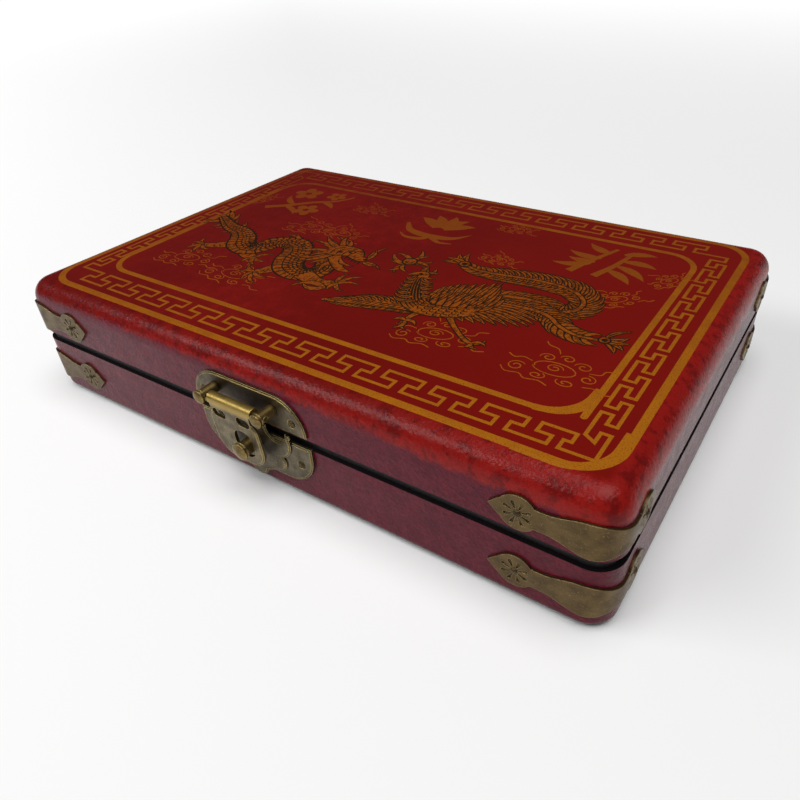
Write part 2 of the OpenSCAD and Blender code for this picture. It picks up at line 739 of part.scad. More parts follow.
base_front_board();
base_back_board();
base_left_board();
base_right_board();
base_bottom_board();
base_wrap();
base_felt();
base_lining();
lid_front_board();
lid_back_board();
lid_left_board();
lid_right_board();
lid_top_board();
lid_wrap();
lid_lining();
lid_strap_front_left();
lid_strap_front_right();
lid_strap_back_left();
lid_strap_back_right();
base_strap_front_left();
base_strap_front_right();
base_strap_back_left();
base_strap_back_right();
lid_strap_nails();
base_strap_nails();
lid_latch_plate();
lid_latch_nails();
left_post();
right_post();
hasp_pin();
hasp();
base_latch_plate();
base_latch_nails();
catch_plate();
catch_knob();
left_hinge_base_leaf();
left_hinge_lid_leaf();
left_hinge_pin();
right_hinge_base_leaf();
right_hinge_lid_leaf();
right_hinge_pin();
base_hinge_screws();
lid_hinge_screws();
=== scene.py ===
"""Looks of a mahjong case: wrapped and gilt lid, antique brass hardware, camera and soft light."""

import json
import math

import bpy
from mathutils import Matrix, Vector

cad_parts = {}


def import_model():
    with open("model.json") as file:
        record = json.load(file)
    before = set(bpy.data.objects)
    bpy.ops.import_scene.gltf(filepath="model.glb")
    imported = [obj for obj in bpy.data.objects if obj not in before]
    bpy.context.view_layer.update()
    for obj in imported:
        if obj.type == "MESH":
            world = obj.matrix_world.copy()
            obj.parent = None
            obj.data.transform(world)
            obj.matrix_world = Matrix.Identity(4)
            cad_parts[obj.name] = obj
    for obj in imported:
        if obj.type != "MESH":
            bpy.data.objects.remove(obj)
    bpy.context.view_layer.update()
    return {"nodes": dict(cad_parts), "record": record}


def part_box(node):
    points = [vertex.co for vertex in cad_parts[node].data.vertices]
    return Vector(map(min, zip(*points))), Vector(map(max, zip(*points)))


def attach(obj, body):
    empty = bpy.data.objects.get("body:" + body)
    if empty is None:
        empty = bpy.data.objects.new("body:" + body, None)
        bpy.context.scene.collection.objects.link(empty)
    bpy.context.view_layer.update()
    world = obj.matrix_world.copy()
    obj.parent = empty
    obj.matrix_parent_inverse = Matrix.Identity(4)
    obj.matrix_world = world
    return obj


MM = 0.001


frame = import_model()
nodes = frame["nodes"]
slots_of_nodes = {row["node"]: row["material_slot"] for row in frame["record"]["subparts"]}

# ---------------------------------------------------------------- the case's own sizes

case_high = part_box("lid_wrap")[1]
HALF_LENGTH = case_high.x
HALF_WIDTH = case_high.y
TOP = case_high.z
BASE_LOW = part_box("base_wrap")[0].z
TOP_EDGE_RADIUS = 8 * MM
PLAN_RADIUS = 9 * MM


# ---------------------------------------------------------------- node trees


class Paint:
    """One procedural material. Each method adds nodes and returns the socket that carries the result."""

    def __init__(self, name):
        self.material = bpy.data.materials.new(name)
        self.material.use_nodes = True
        self.tree = self.material.node_tree
        self.tree.nodes.clear()
        output = self.tree.nodes.new("ShaderNodeOutputMaterial")
        self.shader = self.tree.nodes.new("ShaderNodeBsdfPrincipled")
        self.tree.links.new(self.shader.outputs[0], output.inputs["Surface"])
        coordinates = self.tree.nodes.new("ShaderNodeTexCoord")
        self.place = coordinates.outputs["Object"]
        axes = self.tree.nodes.new("ShaderNodeSeparateXYZ")
        self.put(axes.inputs[0], self.place)
        self.x, self.y, self.z = axes.outputs
        leans = self.tree.nodes.new("ShaderNodeSeparateXYZ")
        self.put(leans.inputs[0], coordinates.outputs["Normal"])
        self.lean = leans.outputs[2]

    def put(self, socket, value):
        """Links a socket to an input, or sets the input to a plain value."""
        if isinstance(value, bpy.types.NodeSocket):
            self.tree.links.new(value, socket)
        else:
            socket.default_value = value

    def math(self, operation, first, second=0.0):
        node = self.tree.nodes.new("ShaderNodeMath")
        node.operation = operation
        self.put(node.inputs[0], first)
        self.put(node.inputs[1], second)
        return node.outputs[0]

    def add(self, first, second):
        return self.math("ADD", first, second)

    def times(self, first, second):
        return self.math("MULTIPLY", first, second)

    def beyond(self, value, limit):
        """How far a value lies from 0, less a limit."""
        return self.math("SUBTRACT", self.math("ABSOLUTE", value), limit)

    def mix(self, share, first, second):
        """Blends two colours: first at share 0, second at share 1."""
        node = self.tree.nodes.new("ShaderNodeMix")
        node.data_type = "RGBA"
        self.put(node.inputs[0], share)
        self.put(node.inputs[6], first)
        self.put(node.inputs[7], second)
        return node.outputs[2]

    def stretched(self, scale):
        """The object's place, stretched by a scale on each axis."""
        node = self.tree.nodes.new("ShaderNodeMapping")
        self.put(node.inputs["Vector"], self.place)
        node.inputs["Scale"].default_value = scale
        return node.outputs[0]

    def noise(self, size, detail=3.0, roughness=0.55, place=None, seed=0.0):
        """Noise from 0 to 1 whose blotches are about one size across."""
        node = self.tree.nodes.new("ShaderNodeTexNoise")
        node.noise_dimensions = "4D"
        self.put(node.inputs["Vector"], place or self.place)
        node.inputs["W"].default_value = seed
        node.inputs["Scale"].default_value = 1 / size
        node.inputs["Detail"].default_value = detail
        node.inputs["Roughness"].default_value = roughness
        return node.outputs[0]

    def cells(self, size):
        """Distance to the nearest of many points that lie about one size apart."""
        node = self.tree.nodes.new("ShaderNodeTexVoronoi")
        self.put(node.inputs["Vector"], self.place)
        node.inputs["Scale"].default_value = 1 / size
        return node.outputs["Distance"]

    def step(self, value, low, high, start=0.0, end=1.0):
        """Goes smoothly from start to end as value goes from low to high."""
        node = self.tree.nodes.new("ShaderNodeMapRange")
        node.interpolation_type = "SMOOTHSTEP"
        self.put(node.inputs["Value"], value)
        for name, number in zip(("From Min", "From Max", "To Min", "To Max"), (low, high, start, end)):
            node.inputs[name].default_value = number
        return node.outputs[0]

    def rounded(self, radius):
        """The surface's normal with its edges rounded over."""
        node = self.tree.nodes.new("ShaderNodeBevel")
        node.samples = 6
        node.inputs["Radius"].default_value = radius
        return node.outputs[0]

    def edges(self, radius):
        """1 on sharp edges and 0 on flat faces."""
        own = self.tree.nodes.new("ShaderNodeNewGeometry").outputs["True Normal"]
        dot = self.tree.nodes.new("ShaderNodeVectorMath")
        dot.operation = "DOT_PRODUCT"
        self.put(dot.inputs[0], self.rounded(radius))
        self.put(dot.inputs[1], own)
        return self.step(dot.outputs["Value"], 0.995, 0.88)

    def open_to(self, distance):
        """1 in the open and towards 0 in crevices that are narrower than the distance."""
        node = self.tree.nodes.new("ShaderNodeAmbientOcclusion")
        node.samples = 6
        node.inputs["Distance"].default_value = distance
        return node.outputs["AO"]

    def bump(self, height, depth, strength=1.0, normal=None):
        node = self.tree.nodes.new("ShaderNodeBump")
        node.inputs["Distance"].default_value = depth
        node.inputs["Strength"].default_value = strength
        self.put(node.inputs["Height"], height)
        if normal is not None:
            self.put(node.inputs["Normal"], normal)
        return node.outputs[0]

    def finish(self, **values):
        """Sets the shader's inputs, whose names are written with _ for spaces."""
        for name, value in values.items():
            self.put(self.shader.inputs[name.replace("_", " ")], value)
        return self.material


def shade(red, green, blue):
    return (red, green, blue, 1.0)


# ---------------------------------------------------------------- materials


# The leather, with the lengths as fitted to the photograph. Pairs along x go from the left to the right.
ROUNDING = (-9 * MM, -6 * MM)  # where the flat top ends, from the outline
BRIGHTER = (-50 * MM, 110 * MM)  # the top's red brightens along x
FRESHER = (20 * MM, 115 * MM)  # the rounding turns scarlet along x
DROP_PLACES, DROP = (-45 * MM, 95 * MM), (4.9 * MM, 9 * MM)  # how far the red comes down the sides
WANDER, FRAY = 7 * MM, 3 * MM  # how far the red's border strays in blotches and in fibres
GLOW_PLACES = (-115 * MM, -20 * MM)  # the border's glow grows along x
WORN = 0.85  # how far the scarlet shows where the leather is rubbed
BOTTOM_BAND = (2.4 * MM, 1.2 * MM)  # the black band along the base's lowest edge, from the base's underside
SEAM_RIMS = 15 * MM  # level faces that lie deeper than this below the top are the black rims


def leather(name):
    """Coated leather: a red top with a ragged, scuffed border, plain sides, black rims, and a black band
    along the base's lowest edge.
    """
    paint = Paint(name)
    cloud = paint.noise(38 * MM, 4)
    blotch = paint.noise(6 * MM, 5, 0.65, seed=3)
    fibre = paint.noise(1.4 * MM, 4, 0.7, seed=7)
    base = paint.mix(paint.step(cloud, 0.35, 0.68), DEEP_RED, RED)
    base = paint.mix(paint.step(blotch, 0.35, 0.75, 0.0, 0.35), base, DEEP_RED)
    base = paint.mix(paint.step(paint.x, *BRIGHTER, 0.0, 0.75 * WORN), base, BRIGHT_RED)
    outward = paint.math("MAXIMUM", paint.beyond(paint.x, HALF_LENGTH), paint.beyond(paint.y, HALF_WIDTH))
    rounding = paint.step(outward, *ROUNDING)
    fresh = paint.times(rounding, paint.step(paint.x, *FRESHER, 0.0, 0.7 * WORN))
    base = paint.mix(fresh, base, SCARLET)

    # The red of the top ends in a ragged border a few millimetres down the sides, and border is the
    # height above it.
    drop = paint.step(paint.x, *DROP_PLACES, *DROP)
    ragged = paint.times(paint.math("SUBTRACT", blotch, 0.5), WANDER)
    ragged = paint.add(ragged, paint.times(paint.math("SUBTRACT", fibre, 0.5), FRAY))
    border = paint.add(paint.math("SUBTRACT", paint.z, TOP), paint.add(drop, ragged))
    glow = paint.times(paint.step(border, 6.5 * MM, 1.5 * MM), paint.step(fibre, 0.38, 0.60, 0.15, 1.0))
    glow = paint.times(glow, paint.step(paint.x, *GLOW_PLACES, 0.25, WORN))
    base = paint.mix(glow, base, SCARLET)
    bruise = paint.step(paint.noise(5 * MM, 5, 0.7, seed=21), 0.47, 0.62, 0.0, 0.65 * WORN)
    base = paint.mix(paint.times(rounding, bruise), base, BRUISED_RED)

    mottled = paint.add(paint.times(fibre, 0.6), paint.times(blotch, 0.4))
    side = paint.mix(paint.step(mottled, 0.40, 0.62, 0.0, 0.75), CRIMSON, DARK_CRIMSON)
    base = paint.mix(paint.step(border, 0.8 * MM, -1.2 * MM), base, side)
    # A black band along the base's lowest edge, darker towards the bottom.
    foot = paint.step(paint.z, BASE_LOW + BOTTOM_BAND[0], BASE_LOW + BOTTOM_BAND[1], 0.0, 0.92)
    base = paint.mix(foot, base, BLACK)
    level = paint.step(paint.math("ABSOLUTE", paint.lean), 0.5, 0.8)
    below_top = paint.step(paint.z, TOP - SEAM_RIMS, TOP - SEAM_RIMS - MM)
    base = paint.mix(paint.times(level, below_top), base, BLACK)

    grain = paint.add(paint.times(paint.cells(1.1 * MM), 0.6), fibre)
    dents = paint.noise(9 * MM, 3, 0.55, seed=11)
    relief = paint.bump(grain, 0.14 * MM, 0.8)
    relief = paint.bump(dents, 0.7 * MM, 0.4, relief)
    return paint.finish(
        Base_Color=base,
        Roughness=paint.step(blotch, 0.3, 0.7, 0.24, 0.32),
        Specular_IOR_Level=paint.step(rounding, 0.0, 1.0, 0.10, 0.14),
        Normal=relief,
    )


# Painted shadow with a patina stain darkens the upper half of the latch between its posts, and the latch's
# hinge roll there is coloured a brighter yellow.
LATCH_MIDDLE = -2.7 * MM
LATCH_INSIDE = (18 * MM, 12 * MM)  # from the latch's middle
LATCH_UPPER = (34 * MM, 36 * MM)  # height above the table


def antique_brass(name, metal, patina, bright, gloss, streak_axis="x", patina_and_shade_width=1.6, inside=None):
    """Tarnished brass: dark patina in blotches, black crevices of patina and painted shade, brushed
    streaks, and bright edges of polish and painted highlight.

    The argument after streak_axis is the width, in millimetres, of the crevices that turn black: patina,
    and painted shade between parts; inside is the colour between the latch's posts, if it has its own
    there.
    """
    paint = Paint(name)
    streaked = (0.12, 1, 1) if streak_axis == "x" else (1, 1, 0.12)
    blotch = paint.noise(5 * MM, 5, 0.65)
    speck = paint.noise(0.7 * MM, 4, 0.7, seed=5)
    streak = paint.noise(0.5 * MM, 3, 0.6, paint.stretched(streaked), seed=9)
    tarnish = paint.add(paint.times(blotch, 0.7), paint.times(speck, 0.45))
    tarnish = paint.add(tarnish, paint.times(streak, 0.25))
    base = paint.mix(paint.step(tarnish, 0.55, 0.85), metal, patina)
    base = paint.mix(paint.step(speck, 0.46, 0.34, 0.0, 0.6), base, patina)
    base = paint.mix(paint.step(speck, 0.56, 0.70, 0.0, 0.5), base, bright)
    # Painted shadow with a patina stain between the posts on the latch; on the hasp this colours the hinge
    # roll brighter.
    if inside:
        between_posts = paint.step(paint.beyond(paint.add(paint.x, -LATCH_MIDDLE), 0.0), *LATCH_INSIDE)
        base = paint.mix(paint.times(paint.step(paint.z, *LATCH_UPPER), between_posts), base, inside)
    # Crevices narrower than the crevice width turn black: patina in hollows, and painted shade between
    # parts, such as the shadow between the hasp and its catch plate.
    base = paint.mix(paint.step(paint.open_to(patina_and_shade_width * MM), 0.8, 0.3, 0.0, 0.9), base, BLACK)
    # Edges turn bright: brass polished by use, and a painted highlight where the edges catch the light.
    polished_and_lit_edges = paint.times(paint.edges(0.35 * MM), paint.step(speck, 0.3, 0.6, 0.45, 1.0))
    base = paint.mix(polished_and_lit_edges, base, bright)
    scratched = paint.bump(streak, 0.03 * MM, 0.5, paint.rounded(0.3 * MM))
    relief = paint.bump(blotch, 0.15 * MM, 0.35, scratched)
    return paint.finish(
        Base_Color=base,
        Metallic=0.88,
        Roughness=paint.step(tarnish, 0.5, 0.9, gloss, gloss + 0.2),
        Normal=relief,
    )


def stained_wood(name, colour, deep):
    """Wood with its grain along the length of the case."""
    paint = Paint(name)
    grain = paint.noise(1.1 * MM, 5, 0.6, paint.stretched((0.05, 1, 1)))
    pores = paint.noise(0.35 * MM, 3, 0.6, paint.stretched((0.08, 1, 1)), seed=4)
    base = paint.mix(paint.step(grain, 0.35, 0.65), deep, colour)
    return paint.finish(
        Base_Color=base,
        Roughness=paint.step(pores, 0.3, 0.7, 0.5, 0.75),
        Normal=paint.bump(paint.add(grain, pores), 0.08 * MM, 0.5),
    )


def cloth(name, colour, deep, nap):
    """Short-napped cloth or felt."""
    paint = Paint(name)
    fluff = paint.noise(0.6 * MM, 6, 0.75)
    shadow = paint.noise(9 * MM, 3, 0.6, seed=2)
    base = paint.mix(paint.step(shadow, 0.3, 0.7, 0.0, 0.6), colour, deep)
    base = paint.mix(paint.step(fluff, 0.45, 0.7, 0.0, 0.5), base, deep)
    return paint.finish(
        Base_Color=base,
        Roughness=0.95,
        Sheen_Weight=nap,
        Sheen_Roughness=0.6,
        Normal=paint.bump(fluff, 0.25 * MM, 0.6),
    )


# How far the gold is painted dimmer, at the right and left ends and at the front and back of the lid:
# painted shade of the gold's sheen
SHADED_LEFTWARD, SHADED_BACKWARD = (0.0, 0.42), (-0.04, 0.48)


def foil(name, gold, shade_and_fade_tone, inked=0.0):
    """Printed gold in fine dots, strongest at the near right corner and painted dimmer towards the far left
    and the back: painted shade of its sheen, with random blotches.

    inked is how far dark hatching covers it in the places where it lies thickest.
    """
    paint = Paint(name)
    blotch = paint.noise(7 * MM, 4, 0.6, seed=1)
    speck = paint.noise(0.5 * MM, 3, 0.7, seed=6)
    # Painted shade: the gold's sheen is painted fainter towards the far left and the back; the blotches add
    # random tone.
    leftward = paint.step(paint.x, HALF_LENGTH, -HALF_LENGTH, *SHADED_LEFTWARD)
    backward = paint.step(paint.y, -HALF_WIDTH, HALF_WIDTH, *SHADED_BACKWARD)
    fade = paint.add(paint.add(leftward, backward), paint.step(blotch, 0.3, 0.7, -0.1, 0.14))
    base = paint.mix(fade, gold, shade_and_fade_tone)
    hatching = paint.noise(1.5 * MM, 3, 0.6, seed=12)
    base = paint.mix(paint.step(hatching, 0.48, 0.58, 0.0, inked), base, DARK_INK)
    base = paint.mix(paint.step(speck, 0.52, 0.66, 0.0, 0.75), base, RED)
    return paint.finish(
        Base_Color=base,
        Roughness=paint.step(blotch, 0.3, 0.7, 0.38, 0.5),
        Specular_IOR_Level=0.12,
        Normal=paint.bump(speck, 0.02 * MM, 0.5),
    )


def ink(name, colour, under):
    """Printed dark outline, thin enough for the gold to warm it."""
    paint = Paint(name)
    speck = paint.noise(0.5 * MM, 4, 0.7, seed=8)
    base = paint.mix(paint.step(speck, 0.5, 0.75, 0.0, 0.6), colour, under)
    return paint.finish(Base_Color=base, Roughness=0.5, Specular_IOR_Level=0.12)


RED = shade(0.155, 0.0055, 0.0035)
BRIGHT_RED = shade(0.198, 0.0060, 0.0032)
DEEP_RED = shade(0.120, 0.004, 0.003)
CRIMSON = shade(0.135, 0.007, 0.020)
DARK_CRIMSON = shade(0.058, 0.003, 0.010)
BRUISED_RED = shade(0.050, 0.002, 0.003)
SCARLET = shade(0.30, 0.010, 0.008)
DARK_INK = shade(0.018, 0.007, 0.002)
BLACK = shade(0.010, 0.007, 0.008)

MATERIALS = {
    "lid_leather": leather("lid_leather"),
    "base_leather": leather("base_leather"),
    "board_wood": stained_wood("board_wood", shade(0.016, 0.012, 0.012), shade(0.006, 0.005, 0.005)),
    "panel_wood": stained_wood("panel_wood", shade(0.50, 0.33, 0.19), shade(0.34, 0.20, 0.10)),
    "felt": cloth("felt", shade(0.018, 0.018, 0.02), shade(0.006, 0.006, 0.007), 0.3),
    "lining": cloth("lining", shade(0.16, 0.010, 0.020), shade(0.085, 0.005, 0.010), 0.5),
    "strap_brass": antique_brass(
        "strap_brass", shade(0.140, 0.090, 0.032), shade(0.080, 0.050, 0.020), shade(0.36, 0.26, 0.11), 0.32
    ),
    "nail_brass": antique_brass(
        "nail_brass", shade(0.13, 0.085, 0.038), shade(0.035, 0.024, 0.013), shade(0.32, 0.24, 0.12), 0.34
    ),
    # Its dark inside colour is painted shadow with a patina stain between the posts, and its wide crevices
    # paint the shade between the hasp and the catch plate.
    "latch_brass": antique_brass(
        "latch_brass", shade(0.155, 0.125, 0.078), shade(0.060, 0.047, 0.029), shade(0.55, 0.42, 0.16),
        0.34, "z", 3.5, inside=shade(0.045, 0.028, 0.012),
    ),
    "post_brass": antique_brass(
        "post_brass", shade(0.30, 0.205, 0.065), shade(0.10, 0.066, 0.024), shade(0.60, 0.45, 0.18), 0.28
    ),
    "hinge_brass": antique_brass(
        "hinge_brass", shade(0.24, 0.17, 0.08), shade(0.085, 0.06, 0.03), shade(0.45, 0.34, 0.18), 0.34
    ),
}
HASP_BRASS = antique_brass(
    "hasp_brass", shade(0.20, 0.155, 0.080), shade(0.085, 0.066, 0.038), shade(0.60, 0.46, 0.18),
    0.32, "z", inside=shade(0.36, 0.25, 0.07),
)
# The second colour of each foil is its dim tone, for painted shade of the sheen and for random blotches.
GOLD = foil("gold_foil", shade(0.36, 0.120, 0.004), shade(0.14, 0.020, 0.003))
FINE_GOLD = foil("fine_gold", shade(0.29, 0.072, 0.003), shade(0.20, 0.034, 0.003), inked=0.6)
DIM_GOLD = foil("dim_gold", shade(0.25, 0.072, 0.004), shade(0.17, 0.030, 0.003))
CLOUD_GOLD = foil("cloud_gold", shade(0.33, 0.095, 0.004), shade(0.17, 0.020, 0.003))
INK = ink("dark_ink", DARK_INK, shade(0.05, 0.018, 0.004))

for node_name, node_object in nodes.items():
    node_object.data.materials.clear()
    node_object.data.materials.append(
        HASP_BRASS if node_name == "hasp" else MATERIALS[slots_of_nodes[node_name]]
    )


# ---------------------------------------------------------------- printing on the lid


def inset_of(x, y):
    """How far a point of the lid's top lies inside its outline, in millimetres."""
    beyond_x = abs(x) - (HALF_LENGTH - PLAN_RADIUS) / MM
    beyond_y = abs(y) - (HALF_WIDTH - PLAN_RADIUS) / MM
    outside = math.hypot(max(beyond_x, 0), max(beyond_y, 0))
    return PLAN_RADIUS / MM - outside - min(max(beyond_x, beyond_y), 0)


def leather_height(x, y):
    """Height of the lid's leather at a point, in millimetres, with its edge rounded over."""
    radius = TOP_EDGE_RADIUS / MM
    short = max(radius - inset_of(x, y), 0)
    return TOP / MM - radius + math.sqrt(max(radius**2 - short**2, 0))


def curve(points, steps=6):
    """A smooth run of points through the given ones."""
    if len(points) < 3:
        return [Vector(p) for p in points]
    ends = [Vector(p) for p in points]
    ends = [2 * ends[0] - ends[1]] + ends + [2 * ends[-1] - ends[-2]]
    run = []
    for before, start, end, after in zip(ends, ends[1:], ends[2:], ends[3:]):
        for step in range(steps):
            t = step / steps
            run.append(
                0.5
                * (
                    2 * start
                    + (end - before) * t
                    + (2 * before - 5 * start + 4 * end - after) * t**2
                    + (3 * start - before - 3 * end + after) * t**3
                )
            )
    return run + [ends[-2]]


def turned(points, angle, centre=(0, 0), shift=(0, 0), scale=1.0):
    """Points scaled and turned about a centre, by an angle in degrees, then shifted."""
    turn = Matrix.Rotation(math.radians(angle), 2)
    middle = Vector(centre)
    return [turn @ ((Vector(p) - middle) * scale) + middle + Vector(shift) for p in points]


class Print:
    """Flat printed strokes on the lid, gathered into one closed mesh for each ink."""

    # In millimetres: one level of print, the lowest level's height, the depth of its root, a lane's width
    LEVEL = 0.0001
    BASE_RISE = 0.012
    ROOT = 0.05
    LANE = 0.8

    def __init__(self):
        self.strokes = {}
        self.level = 0

    def lift(self):
        """What is printed after this lies over what was printed before."""
        self.level += 1

    def slab(self, paint, left, right):
        """A closed thin slab between two matching runs of points, in lanes where the leather curves."""
        edge = TOP_EDGE_RADIUS / MM + self.LANE
        lanes = 1
        if min(inset_of(p[0], p[1]) for p in left + right) < edge:
            lanes = math.ceil(max((a - b).length for a, b in zip(left, right)) / self.LANE)
        for lane in range(lanes):
            near = [a.lerp(b, lane / lanes) for a, b in zip(left, right)]
            far = [a.lerp(b, (lane + 1) / lanes) for a, b in zip(left, right)]
            self.lane(paint, near, far)

    def lane(self, paint, left, right):
        """A closed thin slab one face wide."""
        points, faces = self.strokes.setdefault(paint, ([], []))
        first = len(points)
        rise = self.BASE_RISE + self.LEVEL * self.level
        for a, b in zip(left, right):
            for p in (a, b):
                height = leather_height(p[0], p[1])
                points.append((p[0] * MM, p[1] * MM, (height + rise) * MM))
                points.append((p[0] * MM, p[1] * MM, (height - self.ROOT) * MM))
        last = first + 4 * (len(left) - 1)
        for i in range(first, last, 4):
            top_a, low_a, top_b, low_b = range(i, i + 4)
            faces += [
                (top_a, top_b, top_b + 4, top_a + 4),
                (low_a, low_a + 4, low_b + 4, low_b),
                (top_a, top_a + 4, low_a + 4, low_a),
                (top_b, low_b, low_b + 4, top_b + 4),
            ]
        faces += [
            (first, first + 1, first + 3, first + 2),
            (last, last + 2, last + 3, last + 1),
        ]

    def ribbon(self, paint, run, width):
        """A stroke along a run of points. width is a number, or a function of 0 to 1 along it."""
        run = [Vector(p) for p in run]
        left, right = [], []
        for i, point in enumerate(run):
            before = run[max(i - 1, 0)]
            after = run[min(i + 1, len(run) - 1)]
            along = (after - before).normalized()
            side = Vector((-along.y, along.x))
            half = (width(i / (len(run) - 1)) if callable(width) else width) / 2
            left.append(point + side * half)
            right.append(point - side * half)
        self.slab(paint, left, right)

    def mitred(self, paint, run, width):
        """A stroke of constant width with square corners."""
        run = [Vector(p) for p in run]
        left, right = [], []
        for i, point in enumerate(run):
            into = (point - run[i - 1]).normalized() if i else (run[1] - point).normalized()
            out = (run[i + 1] - point).normalized() if i + 1 < len(run) else into
            side = Vector((-into.y - out.y, into.x + out.x)) / 2
            side = side / side.length_squared * width / 2
            left.append(point + side)
            right.append(point - side)
        self.slab(paint, left, right)

    def disc(self, paint, centre, radius, squash=1.0, angle=0.0, steps=18):
        """A filled round or oval spot."""
        left, right = [], []
        for i in range(steps + 1):
            t = math.pi * (i + 0.02) / (steps + 0.04)
            across, up = radius * math.cos(t), radius * squash * math.sin(t)
            pair = turned([(across, up), (across, -up)], angle)
            left.append(pair[1] + Vector(centre))
            right.append(pair[0] + Vector(centre))
        self.slab(paint, left, right)

    def build(self, name, materials):
        """Makes one object for each ink, riding on the lid."""
        for paint, (points, faces) in self.strokes.items():
            mesh = bpy.data.meshes.new(f"{name}_{paint}")
            mesh.from_pydata(points, [], faces)
            mesh.materials.append(materials[paint])
            mesh.validate()
            piece = bpy.data.objects.new(f"{name}_{paint}", mesh)
            bpy.context.scene.collection.objects.link(piece)
            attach(piece, "lid")


def pointed(width, belly=0.35):
    """Width of a feather or leaf: none at the root, widest at belly, none at the tip."""

    def at(t):
        if t < belly:
            return width * (0.35 + 0.65 * math.sin(math.pi / 2 * t / belly))
        return width * max(math.cos(math.pi / 2 * (t - belly) / (1 - belly)), 0.04)

    return at


def tapered(*widths):
    """Width that goes evenly through the given values."""

    def at(t):
        place = t * (len(widths) - 1)
        i = min(int(place), len(widths) - 2)
        return widths[i] + (widths[i + 1] - widths[i]) * (place - i)

    return at


def bowed(start, end, bend, steps=7):
    """A run from start to end that bows to its left by bend times its length."""
    start, end = Vector(start), Vector(end)
    chord = end - start
    side = Vector((-chord.y, chord.x)) * bend
    return [start + chord * t + side * 4 * t * (1 - t) for t in (i / steps for i in range(steps + 1))]


def outlined(sheet, run, width, rim=0.32):
    """A gold stroke with a dark rim. width is a function of 0 to 1."""
    sheet.ribbon("ink", run, lambda t: width(t) + 2 * rim)
    sheet.lift()
    sheet.ribbon("gold", run, lambda t: max(width(t) - 0.1, 0.05))
    sheet.lift()


def plume(sheet, start, end, bend, width, vein=True):
    """A feather: a dark leaf with a gold one inside it and a dark vein."""
    run = bowed(start, end, bend)
    outlined(sheet, run, pointed(width), 0.45)
    if vein:
        sheet.ribbon("ink", run[1:-1], tapered(0.6, 0.35))
        sheet.lift()


def between(points, share):
    """The point at a share of the way along a smooth run."""
    run = curve(points, 8)
    place = share * (len(run) - 1)
    i = min(int(place), len(run) - 2)
    return run[i].lerp(run[i + 1], place - i)


def fan(sheet, roots, tips, count, width, bend=(0.0, 0.0), vein=True):
    """Feathers from one run of points to another. bend goes from its first value to its second."""
    for i in range(count):
        share = i / (count - 1)
        bow = bend[0] + (bend[1] - bend[0]) * share
        plume(sheet, between(roots, share), between(tips, share), bow, width, vein)


def beside(run, width, offset):
    """A run moved sideways by offset, as a share of half its width there."""
    moved = []
    for i, point in enumerate(run):
        along = (run[min(i + 1, len(run) - 1)] - run[max(i - 1, 0)]).normalized()
        moved.append(point + Vector((-along.y, along.x)) * width(i / (len(run) - 1)) / 2 * offset)
    return moved


# ---------------------------------------------------------------- border

# Sizes in millimetres, from the lid's middle, as fitted to the photograph
OUTER_LINE = {"x": 118.0, "y": 77.1, "radius": 12.5, "width": 2.7}
INNER_LINE = {"left": -105.7, "right": 103.1, "y": 59.1, "radius": 12.0, "width": 2.3}

# At the near right corner both lines were printed twice, and the inner one runs on past its corner.
INNER_TAIL = {"from": -20.0, "to": -56.7, "width": 2.2}
OUTER_PATCH = {"right": 116.7, "start": -64.9, "radius": 12.5, "width": 2.9}
OUTER_PATCH_ENDS = [(116.9, -57.5)], [(98.0, -77.4), (91.5, -77.3)]
INNER_PATCH = {"right": 101.9, "start": -46.2, "radius": 13.0, "width": 2.8}
INNER_PATCH_ENDS = [(102.2, -42.5)], []

# The meander runs along the front and up the right side, and once more, turned round, along the back.
# levels are its three lines, bar is the length of a bar, and pitch that of a unit.
MEANDER_WIDTH = 1.15
FRONT_START = [(-113.4, -64.6), (-99.8, -64.6), (-99.8, -68.5), (-103.5, -68.5)]
FRONT = {"start": -103.5, "count": 11, "levels": (-72.3, -68.5, -64.6), "bar": 13.0, "pitch": 17.3}
CORNER = [
    (86.8, -72.3), (99.0, -72.3), (99.0, -68.5), (94.5, -68.5), (94.5, -64.6), (104.6, -64.6),
    (104.6, -68.5), (102.3, -68.5), (102.3, -72.3), (112.6, -72.3), (112.6, -61.0), (109.7, -61.0),
    (109.7, -65.6),
]
SIDE = {"start": -63.6, "count": 8, "levels": (106.3, 109.6, 112.6), "bar": 11.5, "pitch": 14.7}
SIDE_END = [(106.3, 54.0), (106.3, 60.5), (111.6, 60.5), (111.6, 64.0)]
BACK_SHIFT = -1.2


def rounded_loop(left, right, low, high, radius, steps=8):
    """A closed run round a rectangle with rounded corners, from the middle of its front side."""
    middle = (left + right) / 2
    run = [Vector((middle, low))]
    for centre_x, centre_y, start in (
        (right - radius, low + radius, -90),
        (right - radius, high - radius, 0),
        (left + radius, high - radius, 90),
        (left + radius, low + radius, 180),
    ):
        for i in range(steps + 1):
            angle = math.radians(start + 90 * i / steps)
            run.append(Vector((centre_x + radius * math.cos(angle), centre_y + radius * math.sin(angle))))
    return run + [Vector((middle, low))]


def spread_out(run, longest=8.0):
    """The same run with its long straights cut up, so that it follows the rounded leather."""
    result = [run[0]]
    for start, end in zip(run, run[1:]):
        pieces = max(math.ceil((end - start).length / longest), 1)
        result += [start.lerp(end, (i + 1) / pieces) for i in range(pieces)]
    return result


def quarter_turn(right, start, radius, steps=10):
    """A run round a corner, from the right side to the front side."""
    angles = (math.pi / 2 * i / steps for i in range(steps + 1))
    return [(right - radius * (1 - math.cos(a)), start - radius * math.sin(a)) for a in angles]


def meander(start, count, levels, bar, pitch):
    """Corners of a meander of count units along x. levels are its low, middle and high line."""
    low, middle, high = levels
    back = (2 * bar - pitch) * 0.575
    run = []
    for place in (start + pitch * i for i in range(count)):
        run += [
            (place, low),
            (place + bar, low),
            (place + bar, middle),
            (place + bar - back, middle),
            (place + bar - back, high),
            (place + 2 * bar - back, high),
            (place + 2 * bar - back, middle),
            (place + pitch, middle),
        ]
    return run


